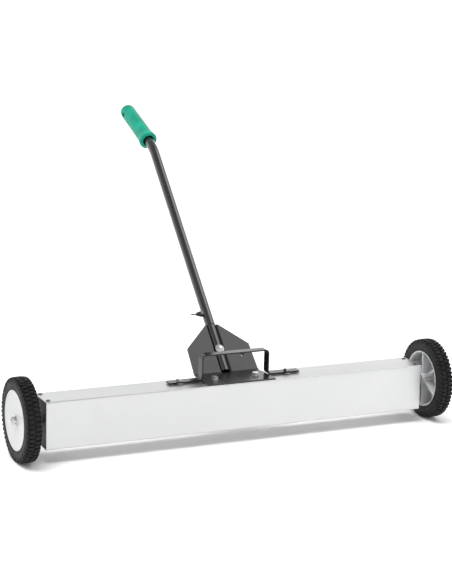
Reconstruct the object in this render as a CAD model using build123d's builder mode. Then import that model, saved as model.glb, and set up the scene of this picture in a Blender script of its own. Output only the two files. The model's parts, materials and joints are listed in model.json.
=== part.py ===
"""Magnetic nail sweeper: a two-wheeled aluminium housing with magnets inside, a strap that lifts
the magnets off the floor side to drop the nails, and a telescopic handle that leans back.

Frame: +Z up, X along the axles, -Y the direction of travel, +Y towards the handle.
Origin: on the floor, under the middle of the axle line. Millimetres.
"""
import os
from math import cos, radians, sin, sqrt, tan

from build123d import *

# ---------------------------------------------------------------- driving dimensions
# wheels
WHEEL_R = 89.0
TYRE_W = 33.0
TYRE_OUTER_X = 496.0
RIM_R = 62.5
AXLE_Z = WHEEL_R
AXLE_R = 5.0
RUN_FIT = 0.05

# housing
HOUSING_L = 878.0
HOUSING_D = 76.0
HOUSING_H = 101.5
HOUSING_Z = 30.0
HOUSING_WALL = 2.0
HOUSING_CORNER = 2.5
TOP_Z = HOUSING_Z + HOUSING_H

# handle bracket: a flange on the housing and a plate that leans back with the tubes
SHEET = 3.0
LEAN = 45.0
FLANGE_FRONT_Y = -35.0
FLANGE_HALF = 80.0
BEND_Y = 44.0
BEND_R = 14.0
SHOULDER_HALF = 73.5
SHOULDER_S = 66.5
PLATE_TOP_HALF = 15.0
PLATE_TOP_S = 121.0
SIDE_HOLE_X = 50.0
SIDE_HOLE_S = 40.5
SIDE_HOLE_R = 4.25
BRACKET_BOLT_X = 48.0
BRACKET_BOLT_Y = 0.0

# tubes
LOWER_R = 9.5
LOWER_WALL = 1.5
UPPER_R = 11.0
TUBE_DROP = 6.0
GROOVE_R = 9.9
GROOVE_SHOULDER = 4.0
GROOVE_END_S = 5.0
LOWER_END_S = 5.5
LOWER_TOP_S = 560.0
UPPER_END_S = 122.0
POLE_BEND_S = 613.5
POLE_BEND_R = 130.0
GRIP_RISE = 21.2
TUBE_BOLT_S = 58.0
CLAMP_S = 154.0

# grip
GRIP_GAP = 30.0
GRIP_L = 156.0
GRIP_R_NEAR = 18.5
GRIP_R_FAR = 17.7
GRIP_COLLAR_R = 21.0
TUBE_IN_GRIP = 106.0

# release strap and what it lifts
STRAP_W = 20.0
STRAP_T = 3.0
STRAP_Y = 8.0
STRAP_LEG_X = 77.7
STRAP_TOP_Z = 190.0
STRAP_FOOT_X = 154.0
STRAP_GAP = 1.8
STRAP_BEND = 6.0
LIFT_X = 127.0
ROD_R = 5.0
CHANNEL_L = 800.0
CHANNEL_W = 62.0
CHANNEL_T = 3.0
MAGNET = (94.0, 50.0, 20.0)
MAGNET_COUNT = 8
MAGNET_GAP = 1.5

# fasteners: a thread's radius alone, or (thread radius, across flats, nut height)
M6_R = 3.0
M8 = (4.0, 13.0, 6.5)
M10 = (5.0, 17.0, 8.0)

os.makedirs("parts", exist_ok=True)


# ---------------------------------------------------------------- shared helpers
def save(part, name):
    """Label a finished piece and write its STEP file."""
    part.label = name
    export_step(part, f"parts/{name}.step")
    box = part.bounding_box()
    print(f"{name:22s} {len(part.solids()):2d} solids  {part.volume / 1000:9.2f} cm3"
          f"  z {box.min.Z:7.2f} .. {box.max.Z:7.2f}")


def plate_point(s, n=0.0, x=0.0):
    """A point s up the leaning plate and n in front of its face."""
    lean = radians(LEAN)
    y = BEND_Y + s * cos(lean) - n * sin(lean)
    z = TOP_Z + SHEET + s * sin(lean) + n * cos(lean)
    return Vector(x, y, z)


UP_POLE = Vector(0, cos(radians(LEAN)), sin(radians(LEAN)))
OFF_PLATE = Vector(0, -sin(radians(LEAN)), cos(radians(LEAN)))
UP_GRIP = Vector(0, cos(radians(GRIP_RISE)), sin(radians(GRIP_RISE)))


def pole_point(s):
    """A point on the common axis of the two tubes."""
    return plate_point(s, -TUBE_DROP)


def on_plate(n):
    """Plane parallel to the leaning plate, local x to the right and local y up the plate."""
    return Plane(origin=plate_point(0, n), x_dir=(1, 0, 0), z_dir=OFF_PLATE)


GRIP_START = pole_point(POLE_BEND_S) + UP_GRIP * GRIP_GAP


# ---------------------------------------------------------------- housing
# One extruded tube, kept as its roof, its floor and its two walls.
ROOF_Z = TOP_Z - HOUSING_WALL
FLOOR_Z = HOUSING_Z + HOUSING_WALL
END_SCREW_X = HOUSING_L / 2 - 8.0
END_SCREW_Y = 25.0
SCREW_R = 2.5
SCREW_FIT = 0.1
BUSHING_R = 7.0
BOLT_CLEAR = 0.25
LIFT_SPOTS = [(-LIFT_X, STRAP_Y), (LIFT_X, STRAP_Y)]
BOLT_SPOTS = [(-BRACKET_BOLT_X, BRACKET_BOLT_Y), (BRACKET_BOLT_X, BRACKET_BOLT_Y)]

with BuildPart() as housing_tube:
    with BuildSketch(Plane.YZ.offset(-HOUSING_L / 2)):
        with Locations((0, HOUSING_Z + HOUSING_H / 2)):
            RectangleRounded(HOUSING_D, HOUSING_H, HOUSING_CORNER)
            Rectangle(HOUSING_D - 2 * HOUSING_WALL, HOUSING_H - 2 * HOUSING_WALL, mode=Mode.SUBTRACT)
    extrude(amount=HOUSING_L)
    with BuildSketch(Plane.XY):
        with GridLocations(2 * END_SCREW_X, 2 * END_SCREW_Y, 2, 2):
            Circle(SCREW_R + SCREW_FIT)
    extrude(amount=TOP_Z + 1, mode=Mode.SUBTRACT)
    with BuildSketch(Plane.XY.offset(TOP_Z - HOUSING_H / 2)):
        with Locations(LIFT_SPOTS):
            Circle(BUSHING_R)
        with Locations(BOLT_SPOTS):
            Circle(M8[0] + BOLT_CLEAR)
    extrude(amount=HOUSING_H, mode=Mode.SUBTRACT)

with BuildPart() as housing_roof:
    add(housing_tube.part)
    split(bisect_by=Plane.XY.offset(ROOF_Z), keep=Keep.TOP)
save(housing_roof.part, "housing_roof")

with BuildPart() as housing_floor:
    add(housing_tube.part)
    split(bisect_by=Plane.XY.offset(FLOOR_Z), keep=Keep.BOTTOM)
save(housing_floor.part, "housing_floor")

with BuildPart() as housing_walls:
    add(housing_tube.part)
    split(bisect_by=Plane.XY.offset(ROOF_Z), keep=Keep.BOTTOM)
    split(bisect_by=Plane.XY.offset(FLOOR_Z), keep=Keep.TOP)
save(housing_walls.part, "housing_walls")


# ---------------------------------------------------------------- end plates and their screws
END_T = 2.5
END_RECESS = 1.0
END_TAB = 18.0
END_SIDE_GAP = 0.2
END_BEND_R = 1.5
INNER_D = HOUSING_D - 2 * HOUSING_WALL
INNER_H = HOUSING_H - 2 * HOUSING_WALL


def end_plate(side):
    """A folded pan: an upright face and two tabs against the housing's floor and roof."""
    face_x = HOUSING_L / 2 - END_RECESS
    middle_z = HOUSING_Z + HOUSING_H / 2
    with BuildPart() as pan:
        with BuildSketch(Plane.YZ.offset(side * face_x)):
            with Locations((0, middle_z)):
                Rectangle(INNER_D - 2 * END_SIDE_GAP, INNER_H)
        extrude(amount=-side * END_TAB)
        with BuildSketch(Plane.YZ.offset(side * (face_x - END_T))):
            with Locations((0, middle_z)):
                Rectangle(INNER_D, INNER_H - 2 * END_T)
        extrude(amount=-side * END_TAB, mode=Mode.SUBTRACT)
        bend_edges = pan.edges().filter_by(Axis.Y).filter_by(
            lambda e: abs(abs(e.center().X) - (face_x - END_T)) < 0.01
            and abs(e.center().Z - middle_z) < INNER_H / 2 - 1)
        fillet(bend_edges, END_BEND_R)
        with BuildSketch(Plane.YZ.offset(side * (face_x - END_TAB))):
            with Locations((0, AXLE_Z)):
                Circle(AXLE_R + SCREW_FIT)
        extrude(amount=side * 2 * END_TAB, mode=Mode.SUBTRACT)
        with BuildSketch(Plane.XY):
            with Locations((side * END_SCREW_X, -END_SCREW_Y), (side * END_SCREW_X, END_SCREW_Y)):
                Circle(SCREW_R)
        extrude(amount=TOP_Z, mode=Mode.SUBTRACT)
    return pan.part


save(end_plate(-1), "end_plate_left")
save(end_plate(1), "end_plate_right")

SCREW_HEAD_R = 4.6
SCREW_HEAD_H = 1.6
SCREW_L = 9.0
SCREW_CROWN = 0.9
CROSS_L = 4.6
CROSS_T = 1.0
CROSS_DEPTH = 0.9

with BuildPart() as end_plate_screws:
    for z, up in ((TOP_Z, 1), (HOUSING_Z, -1)):
        with BuildSketch(Plane.XY.offset(z)):
            with GridLocations(2 * END_SCREW_X, 2 * END_SCREW_Y, 2, 2):
                Circle(SCREW_HEAD_R)
        extrude(amount=up * SCREW_HEAD_H)
        with BuildSketch(Plane.XY.offset(z)):
            with GridLocations(2 * END_SCREW_X, 2 * END_SCREW_Y, 2, 2):
                Circle(SCREW_R)
        extrude(amount=-up * SCREW_L)
        rims = end_plate_screws.edges().filter_by(GeomType.CIRCLE).filter_by(
            lambda e, height=z + up * SCREW_HEAD_H: abs(e.center().Z - height) < 0.01)
        fillet(rims, SCREW_CROWN)
        with BuildSketch(Plane.XY.offset(z + up * SCREW_HEAD_H)):
            with GridLocations(2 * END_SCREW_X, 2 * END_SCREW_Y, 2, 2):
                Rectangle(CROSS_L, CROSS_T)
                Rectangle(CROSS_T, CROSS_L)
        extrude(amount=-up * CROSS_DEPTH, mode=Mode.SUBTRACT)
save(end_plate_screws.part, "end_plate_screws")


# ---------------------------------------------------------------- fastener shapes
HEX_BEVEL = 0.035
SHANK_BEVEL = 0.4


def disc(plane, radius, height, bevel):
    """A round blank with its far edge bevelled."""
    with BuildPart() as blank:
        with BuildSketch(plane):
            Circle(radius)
        extrude(amount=height)
        far_edge = blank.faces().sort_by(Axis(plane.origin, plane.z_dir))[-1].edges()
        chamfer(far_edge, length=bevel, length2=bevel * 2)
    return blank.part


def hexagon(plane, across_flats, height, bore=0.0):
    """A bolt head, or a nut where there is a bore, with the corners of its far end bevelled."""
    blank = disc(plane, across_flats / sqrt(3), height, across_flats * HEX_BEVEL)
    with BuildPart() as piece:
        with BuildSketch(plane):
            RegularPolygon(across_flats / 2, 6, major_radius=False)
            if bore:
                Circle(bore, mode=Mode.SUBTRACT)
        extrude(amount=height)
        add(blank, mode=Mode.INTERSECT)
    return piece.part


def ring(plane, outer, inner, height):
    """A washer, bush or spacer."""
    with BuildPart() as piece:
        with BuildSketch(plane):
            Circle(outer)
            Circle(inner, mode=Mode.SUBTRACT)
        extrude(amount=height)
    return piece.part


def shank(plane, radius, length):
    """A plain bolt shank or pin with a small bevel at its far end."""
    return disc(plane, radius, length, SHANK_BEVEL)


def group(pieces):
    """Several separate solids as one sub-part."""
    with BuildPart() as together:
        for piece in pieces:
            add(piece)
    return together.part


def outward(side, x, y=0.0, z=AXLE_Z):
    """Plane square to X at the given distance from the middle, facing away from it."""
    return Plane(origin=(side * x, y, z), x_dir=(0, side, 0), z_dir=(side, 0, 0))


def level(z, x=0.0, y=0.0, up=1):
    """Horizontal plane at a point, facing up or down."""
    return Plane(origin=(x, y, z), x_dir=(1, 0, 0), z_dir=(0, 0, up))


# ---------------------------------------------------------------- stub axles
AXLE_HEAD_X = HOUSING_L / 2 - END_RECESS - END_T
AXLE_HEAD_H = 6.4
JAM_NUT_X = HOUSING_L / 2 - END_RECESS
SPACER_X = JAM_NUT_X + M10[2]
HUB_GAP = 0.3
HUB_IN_X = 460.0
HUB_OUT_X = 491.7
WASHER_X = HUB_OUT_X + HUB_GAP
WASHER_T = 2.0
LOCK_NUT_X = WASHER_X + WASHER_T
LOCK_NUT_H = 9.0
AXLE_TIP_X = LOCK_NUT_X + LOCK_NUT_H + 2.0
SPACER_R = 8.0
AXLE_WASHER_R = 11.0


def axle(side):
    """A hexagon bolt whose head is inside the end plate."""
    head_plane = outward(side, AXLE_HEAD_X - AXLE_HEAD_H)
    with BuildPart() as bolt:
        with BuildSketch(head_plane):
            RegularPolygon(M10[1] / 2, 6, major_radius=False)
        extrude(amount=AXLE_HEAD_H)
        add(shank(outward(side, AXLE_HEAD_X), AXLE_R, AXLE_TIP_X - AXLE_HEAD_X))
    return bolt.part


save(axle(-1), "axle_left")
save(axle(1), "axle_right")
save(group(hexagon(outward(side, JAM_NUT_X), M10[1], M10[2], AXLE_R) for side in (-1, 1)),
     "axle_jam_nuts")
save(group(ring(outward(side, SPACER_X), SPACER_R, AXLE_R + SCREW_FIT, HUB_IN_X - HUB_GAP - SPACER_X)
           for side in (-1, 1)), "axle_spacers")
save(group(ring(outward(side, WASHER_X), AXLE_WASHER_R, AXLE_R, WASHER_T) for side in (-1, 1)),
     "axle_washers")
save(group(hexagon(outward(side, LOCK_NUT_X), M10[1], LOCK_NUT_H, AXLE_R) for side in (-1, 1)),
     "axle_lock_nuts")


# ---------------------------------------------------------------- wheels
TYRE_IN_X = TYRE_OUTER_X - TYRE_W
RIM_IN_X = TYRE_IN_X + 1.0
RIM_OUT_X = TYRE_OUTER_X - 1.0
BUSHING_OUTER = 8.0
HUB_R = 12.5
HUB_FACE_R = 16.0
SEAT_R = 60.5
BARREL_R = 57.5
LIP_R = 60.2
LIP_T = 3.5
FACE_X = HUB_OUT_X - 2.0
FACE_T = 4.0
FACE_DISH = 3.5
RIB_COUNT = 6
RIB_T = 4.5
RIB_INSET = 3.0
RIB_TURN = 27.0
SHOULDER_R = 82.0
TREAD_HALF = 13.5
TREAD_CROWN = 0.8
AXLE_LINE = Axis((0, 0, AXLE_Z), (1, 0, 0))


def wheel_section(side):
    """Half section through a wheel: local x is the distance out along X, local y the radius."""
    return Plane(origin=(0, 0, AXLE_Z), x_dir=(side, 0, 0), z_dir=(0, -side, 0))


def turned(side, points):
    """A solid of revolution about the axle line from the corners of its half section."""
    with BuildPart() as solid:
        with BuildSketch(wheel_section(side)):
            with BuildLine():
                Polyline(*points, close=True)
            make_face()
        revolve(axis=AXLE_LINE)
    return solid.part


def rim_barrel(side):
    """The rim's outer ring: a seat for the tyre between two thin lips."""
    return turned(side, [
        (RIM_IN_X, LIP_R),
        (RIM_IN_X, RIM_R),
        (RIM_IN_X + LIP_T, RIM_R),
        (RIM_IN_X + LIP_T, SEAT_R),
        (RIM_OUT_X - LIP_T, SEAT_R),
        (RIM_OUT_X - LIP_T, RIM_R),
        (RIM_OUT_X, RIM_R),
        (RIM_OUT_X, LIP_R),
        (RIM_OUT_X - 1.0, BARREL_R),
        (RIM_IN_X + LIP_T, BARREL_R),
    ])


def rim_face(side):
    """The shallow dish that closes the wheel's outer side."""
    return turned(side, [
        (FACE_X - FACE_T, HUB_R),
        (FACE_X - FACE_T + FACE_DISH, BARREL_R),
        (RIM_OUT_X - 1.0, BARREL_R),
        (FACE_X, HUB_FACE_R),
        (HUB_OUT_X, HUB_R),
    ])


def pocket(side):
    """The space between hub, barrel and face, from the ribs' inner edges outwards."""
    rib_x = RIM_IN_X + RIB_INSET
    mouth_r = LIP_R - (LIP_R - BARREL_R) * RIB_INSET / LIP_T
    return turned(side, [
        (rib_x, HUB_R),
        (rib_x, mouth_r),
        (RIM_IN_X + LIP_T, BARREL_R),
        (FACE_X - FACE_T + FACE_DISH, BARREL_R),
        (FACE_X - FACE_T, HUB_R),
    ])


def rim_ribs(side):
    """The radial ribs that fill the pocket between hub and barrel."""
    with BuildPart() as ribs:
        with BuildSketch(outward(side, RIM_IN_X)):
            with PolarLocations(RIM_R / 2, RIB_COUNT, start_angle=RIB_TURN):
                Rectangle(RIM_R, RIB_T)
        extrude(amount=RIM_OUT_X - RIM_IN_X)
        add(pocket(side), mode=Mode.INTERSECT)
    return ribs.part


def rim_hub(side):
    """The boss that holds the wheel's bushing."""
    return ring(outward(side, HUB_IN_X), HUB_R, BUSHING_OUTER, HUB_OUT_X - HUB_IN_X)


def hub_bushing(side):
    """A nylon sleeve that turns on the axle."""
    return ring(outward(side, HUB_IN_X), BUSHING_OUTER, AXLE_R + RUN_FIT, HUB_OUT_X - HUB_IN_X)


def tyre(side):
    """A rubber tyre seated between the lips of its rim, with a broad, slightly crowned tread."""
    middle_x = (TYRE_IN_X + TYRE_OUTER_X) / 2
    half = TYRE_W / 2
    bead_half = (RIM_OUT_X - RIM_IN_X) / 2 - LIP_T
    edge_r = WHEEL_R - TREAD_CROWN
    with BuildPart() as rubber:
        with BuildSketch(wheel_section(side)):
            with BuildLine():
                Polyline((middle_x + bead_half, RIM_R), (middle_x + bead_half, SEAT_R),
                         (middle_x - bead_half, SEAT_R), (middle_x - bead_half, RIM_R),
                         (middle_x - half + 1.0, RIM_R), (middle_x - half, RIM_R + 3.0),
                         (middle_x - half, SHOULDER_R))
                ThreePointArc((middle_x - half, SHOULDER_R), (middle_x - half + 0.9, WHEEL_R - 2.9),
                              (middle_x - TREAD_HALF, edge_r))
                ThreePointArc((middle_x - TREAD_HALF, edge_r), (middle_x, WHEEL_R),
                              (middle_x + TREAD_HALF, edge_r))
                ThreePointArc((middle_x + TREAD_HALF, edge_r),
                              (middle_x + half - 0.9, WHEEL_R - 2.9), (middle_x + half, SHOULDER_R))
                Polyline((middle_x + half, SHOULDER_R), (middle_x + half, RIM_R + 3.0),
                         (middle_x + half - 1.0, RIM_R), (middle_x + bead_half, RIM_R))
            make_face()
        revolve(axis=AXLE_LINE)
    return rubber.part


for wheel_name, wheel_side in (("left", -1), ("right", 1)):
    save(tyre(wheel_side), f"tyre_{wheel_name}")
    save(rim_barrel(wheel_side), f"rim_barrel_{wheel_name}")
    save(rim_face(wheel_side), f"rim_face_{wheel_name}")
    save(rim_ribs(wheel_side), f"rim_ribs_{wheel_name}")
    save(rim_hub(wheel_side), f"rim_hub_{wheel_name}")
    save(hub_bushing(wheel_side), f"hub_bushing_{wheel_name}")


# ---------------------------------------------------------------- handle bracket
# One bent sheet, kept as a flat foot and a plate with the bend, which meet across the foot.
FLANGE_Z = TOP_Z + SHEET
FOOT_EDGE = Plane(origin=(0, 30, 0), x_dir=(1, 0, 0), z_dir=(0, -1, 0))
TROUGH_R = GROOVE_R + SHEET
BEND_HALF = 76.0
PLATE_CORNER_R = 4.0
ACROSS_GROOVE = Plane(origin=plate_point(GROOVE_END_S), x_dir=(1, 0, 0), z_dir=-UP_POLE)


def groove(profile, top_s):
    """A straight channel up the plate with a rounded lower end, from half its section."""
    with BuildPart() as channel:
        with BuildSketch(ACROSS_GROOVE):
            add(profile)
            mirror(about=Plane.YZ)
        extrude(amount=GROOVE_END_S - top_s)
        with BuildSketch(ACROSS_GROOVE):
            add(profile)
        revolve(axis=Axis(ACROSS_GROOVE.origin, OFF_PLATE))
    return channel.part


with BuildSketch() as groove_inside:
    with BuildLine():
        Line((0, SHEET), (0, -TUBE_DROP - GROOVE_R))
        RadiusArc((0, -TUBE_DROP - GROOVE_R), (GROOVE_R, -TUBE_DROP), -GROOVE_R)
        Line((GROOVE_R, -TUBE_DROP), (GROOVE_R, -GROOVE_SHOULDER))
        RadiusArc((GROOVE_R, -GROOVE_SHOULDER), (GROOVE_R + GROOVE_SHOULDER, 0), GROOVE_SHOULDER)
        Polyline((GROOVE_R + GROOVE_SHOULDER, 0), (GROOVE_R + GROOVE_SHOULDER, SHEET), (0, SHEET))
    make_face()

with BuildSketch() as groove_outside:
    with BuildLine():
        Line((0, -SHEET / 2), (0, -TUBE_DROP - TROUGH_R))
        RadiusArc((0, -TUBE_DROP - TROUGH_R), (TROUGH_R, -TUBE_DROP), -TROUGH_R)
        Polyline((TROUGH_R, -TUBE_DROP), (TROUGH_R, -SHEET / 2), (0, -SHEET / 2))
    make_face()

trough = groove(groove_outside.sketch, PLATE_TOP_S)
groove_space = groove(groove_inside.sketch, PLATE_TOP_S + 20.0)

with BuildPart() as bracket_outline:
    with BuildSketch(level(TOP_Z)):
        with BuildLine():
            Polyline((-FLANGE_HALF, FLANGE_FRONT_Y), (FLANGE_HALF, FLANGE_FRONT_Y),
                     (BEND_HALF, BEND_Y), (-BEND_HALF, BEND_Y), close=True)
        make_face()
    extrude(amount=FLANGE_Z - TOP_Z + 2.0)
    with BuildSketch(on_plate(-SHEET - 5.0)) as plate_outline:
        with BuildLine():
            Polyline((-BEND_HALF, -14), (-BEND_HALF, 0), (-SHOULDER_HALF, SHOULDER_S),
                     (-PLATE_TOP_HALF, PLATE_TOP_S), (PLATE_TOP_HALF, PLATE_TOP_S),
                     (SHOULDER_HALF, SHOULDER_S), (BEND_HALF, 0), (BEND_HALF, -14), close=True)
        make_face()
        for corner_x in (-SHOULDER_HALF, SHOULDER_HALF):
            corner = plate_outline.vertices().sort_by_distance((corner_x, SHOULDER_S))[0]
            fillet(corner, PLATE_CORNER_R)
    extrude(amount=SHEET + 12.0)

with BuildPart() as bracket_sheet:
    plate_top = plate_point(PLATE_TOP_S)
    plate_top_back = plate_point(PLATE_TOP_S, -SHEET)
    bend_back = BEND_Y + SHEET * tan(radians(LEAN / 2))
    with BuildSketch(Plane.YZ.offset(-FLANGE_HALF)) as bracket_side:
        with BuildLine():
            Polyline((FLANGE_FRONT_Y, FLANGE_Z), (BEND_Y, FLANGE_Z), (plate_top.Y, plate_top.Z),
                     (plate_top_back.Y, plate_top_back.Z), (bend_back, TOP_Z),
                     (FLANGE_FRONT_Y, TOP_Z), close=True)
        make_face()
        fillet(bracket_side.vertices().sort_by_distance((BEND_Y, FLANGE_Z))[0], BEND_R)
        fillet(bracket_side.vertices().sort_by_distance((bend_back, TOP_Z))[0], BEND_R + SHEET)
    extrude(amount=2 * FLANGE_HALF)
    add(bracket_outline.part, mode=Mode.INTERSECT)
    add(trough)
    add(groove_space, mode=Mode.SUBTRACT)
    with BuildSketch(level(FLANGE_Z + 1.0)):
        with Locations(BOLT_SPOTS):
            Circle(M8[0] + BOLT_CLEAR)
    extrude(amount=-SHEET - 2.0, mode=Mode.SUBTRACT)
    with BuildSketch(on_plate(1.0)):
        with Locations((-SIDE_HOLE_X, SIDE_HOLE_S), (SIDE_HOLE_X, SIDE_HOLE_S)):
            Circle(SIDE_HOLE_R)
        with Locations((0, TUBE_BOLT_S)):
            Circle(M8[0] + BOLT_CLEAR)
    extrude(amount=-TROUGH_R - TUBE_DROP - 2.0, mode=Mode.SUBTRACT)

with BuildPart() as bracket_foot:
    add(bracket_sheet.part)
    split(bisect_by=FOOT_EDGE, keep=Keep.TOP)
save(bracket_foot.part, "bracket_foot")

with BuildPart() as bracket_plate:
    add(bracket_sheet.part)
    split(bisect_by=FOOT_EDGE, keep=Keep.BOTTOM)
save(bracket_plate.part, "bracket_plate")


def behind_plate(x):
    """Plane on the back of the leaning plate at a side hole, facing away from the plate."""
    return Plane(origin=plate_point(SIDE_HOLE_S, -SHEET, x), x_dir=(1, 0, 0), z_dir=-OFF_PLATE)


save(group(hexagon(behind_plate(x), M8[1], M8[2], M8[0]) for x in (-SIDE_HOLE_X, SIDE_HOLE_X)),
     "side_weld_nuts")

WASHER_R = 8.0
WASHER_H = 1.6
BOLT_HEAD_H = 5.3
BOLT_SEAT_Z = FLANGE_Z + WASHER_H
NUT_SEAT_Z = ROOF_Z - WASHER_H
BOLT_TIP_Z = NUT_SEAT_Z - M8[2] - 2.0


def bracket_bolt(x, y):
    """A hexagon bolt through the flange and the housing's roof."""
    with BuildPart() as bolt:
        add(hexagon(level(BOLT_SEAT_Z, x, y), M8[1], BOLT_HEAD_H))
        add(shank(level(BOLT_SEAT_Z, x, y, -1), M8[0], BOLT_SEAT_Z - BOLT_TIP_Z))
    return bolt.part


save(group(bracket_bolt(x, y) for x, y in BOLT_SPOTS), "bracket_bolts")
save(group(ring(level(z, x, y), WASHER_R, M8[0], WASHER_H)
           for z in (FLANGE_Z, NUT_SEAT_Z) for x, y in BOLT_SPOTS), "bracket_washers")
save(group(hexagon(level(NUT_SEAT_Z, x, y, -1), M8[1], M8[2], M8[0]) for x, y in BOLT_SPOTS),
     "bracket_nuts")


# ---------------------------------------------------------------- lower tube and its bolt
def square_to_pole(s):
    """Plane square to the tubes at a point up the pole, facing up it."""
    return Plane(origin=pole_point(s), x_dir=(1, 0, 0), z_dir=UP_POLE)


with BuildPart() as lower_tube:
    with BuildSketch(square_to_pole(LOWER_END_S)):
        Circle(LOWER_R)
        Circle(LOWER_R - LOWER_WALL, mode=Mode.SUBTRACT)
    extrude(amount=LOWER_TOP_S - LOWER_END_S)
    with BuildSketch(on_plate(LOWER_R)):
        with Locations((0, TUBE_BOLT_S)):
            Circle(M8[0] + BOLT_CLEAR)
    extrude(amount=-3 * LOWER_R, mode=Mode.SUBTRACT)
save(lower_tube.part, "lower_tube")

DOME_R = 10.2
DOME_H = 5.0
DOME_EDGE = 0.8
TUBE_TOP_N = LOWER_R - TUBE_DROP
TROUGH_N = -TUBE_DROP - TROUGH_R
TUBE_NUT_N = TROUGH_N - WASHER_H


def on_bolt(n, facing=1):
    """Plane on the tube bolt's axis, facing away from the plate or back towards it."""
    return Plane(origin=plate_point(TUBE_BOLT_S, n), x_dir=(1, 0, 0), z_dir=OFF_PLATE * facing)


with BuildPart() as tube_bolt:
    with BuildSketch(Plane(origin=plate_point(TUBE_BOLT_S, TUBE_TOP_N), x_dir=(1, 0, 0),
                           z_dir=-UP_POLE)):
        with BuildLine():
            Polyline((0, DOME_H), (0, 0), (DOME_R, 0), (DOME_R, DOME_EDGE))
            TangentArc((0, DOME_H), (DOME_R, DOME_EDGE), tangent=(1, 0))
        make_face()
    revolve(axis=Axis(plate_point(TUBE_BOLT_S), OFF_PLATE))
    add(shank(on_bolt(TUBE_TOP_N, -1), M8[0], TUBE_TOP_N - TUBE_NUT_N + M8[2] + 2.0))
save(tube_bolt.part, "tube_bolt")
save(ring(on_bolt(TROUGH_N, -1), WASHER_R, M8[0], WASHER_H), "tube_bolt_washer")
save(hexagon(on_bolt(TUBE_NUT_N, -1), M8[1], M8[2], M8[0]), "tube_bolt_nut")


# ---------------------------------------------------------------- upper tube with its bend
UPPER_BORE = LOWER_R + RUN_FIT
BEND_TANGENT = POLE_BEND_R * tan(radians(LEAN - GRIP_RISE) / 2)

with BuildPart() as upper_tube:
    with BuildLine() as tube_path:
        Line(pole_point(UPPER_END_S), pole_point(POLE_BEND_S - BEND_TANGENT))
        TangentArc(pole_point(POLE_BEND_S - BEND_TANGENT),
                   pole_point(POLE_BEND_S) + UP_GRIP * BEND_TANGENT, tangent=UP_POLE)
        Line(pole_point(POLE_BEND_S) + UP_GRIP * BEND_TANGENT, GRIP_START + UP_GRIP * TUBE_IN_GRIP)
    with BuildSketch(square_to_pole(UPPER_END_S)):
        Circle(UPPER_R)
        Circle(UPPER_BORE, mode=Mode.SUBTRACT)
    sweep(path=tube_path.line)
    with BuildSketch(Plane(origin=pole_point(CLAMP_S), x_dir=UP_POLE, z_dir=(-1, 0, 0))):
        Circle(M8[0] + RUN_FIT)
    extrude(amount=2 * UPPER_R, mode=Mode.SUBTRACT)
save(upper_tube.part, "upper_tube")


# ---------------------------------------------------------------- wing screw and its nut
CLAMP_NUT_X = 16.0
SCREW_TIP_X = LOWER_R + 0.35
HUB_X = CLAMP_NUT_X + 0.5
SCREW_HUB_R = 5.5
SCREW_HUB_L = 8.0
WING_T = 3.0
WING_REACH = 13.0
WING_TIP_X = 33.0
WING_TURN = -14.0
WING_ROOT_X = HUB_X + 1.5


def beside_tube(x):
    """Plane square to the wing screw, at a distance out from the tube's axis."""
    return Plane(origin=pole_point(CLAMP_S) - Vector(x, 0, 0), x_dir=UP_POLE, z_dir=(-1, 0, 0))


with BuildPart() as clamp_nut:
    with BuildSketch(beside_tube(LOWER_R)):
        RegularPolygon(M8[1] / 2, 6, major_radius=False)
        Circle(M8[0] + RUN_FIT, mode=Mode.SUBTRACT)
    extrude(amount=CLAMP_NUT_X - LOWER_R)
    with BuildSketch(square_to_pole(CLAMP_S - M8[1])):
        Circle(UPPER_R)
    extrude(amount=2 * M8[1], mode=Mode.SUBTRACT)
save(clamp_nut.part, "clamp_nut")

WING_DIR = Vector(0, cos(radians(WING_TURN)), sin(radians(WING_TURN)))

with BuildPart() as clamp_screw:
    add(shank(beside_tube(HUB_X).rotated((0, 180, 0)), M8[0], HUB_X - SCREW_TIP_X))
    with BuildSketch(beside_tube(HUB_X)):
        Circle(SCREW_HUB_R)
    extrude(amount=SCREW_HUB_L, taper=8)
    wing_plane = Plane(origin=pole_point(CLAMP_S) - WING_DIR.cross(Vector(-1, 0, 0)) * (WING_T / 2),
                       x_dir=(-1, 0, 0), z_dir=WING_DIR.cross(Vector(-1, 0, 0)))
    with BuildSketch(wing_plane):
        with BuildLine():
            Line((WING_ROOT_X, WING_T), (WING_ROOT_X, -WING_T))
            Spline((WING_ROOT_X, -WING_T), (HUB_X + SCREW_HUB_L, -3 * WING_T),
                   (WING_TIP_X, -WING_REACH), (WING_TIP_X - 1.5, -7.0),
                   (HUB_X + SCREW_HUB_L + 1.0, 0), (WING_TIP_X - 1.5, 7.0),
                   (WING_TIP_X, WING_REACH), (HUB_X + SCREW_HUB_L, 3 * WING_T),
                   (WING_ROOT_X, WING_T))
        make_face()
    extrude(amount=WING_T)
save(clamp_screw.part, "clamp_screw")


# ---------------------------------------------------------------- grip
HANG_HOLE_R = 6.0
HANG_HOLE_AT = GRIP_L - 29.0
MOUTH_R = 13.5
MOUTH_DEPTH = 22.0
COLLAR_L = 24.0
DOME_L = 15.0

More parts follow.
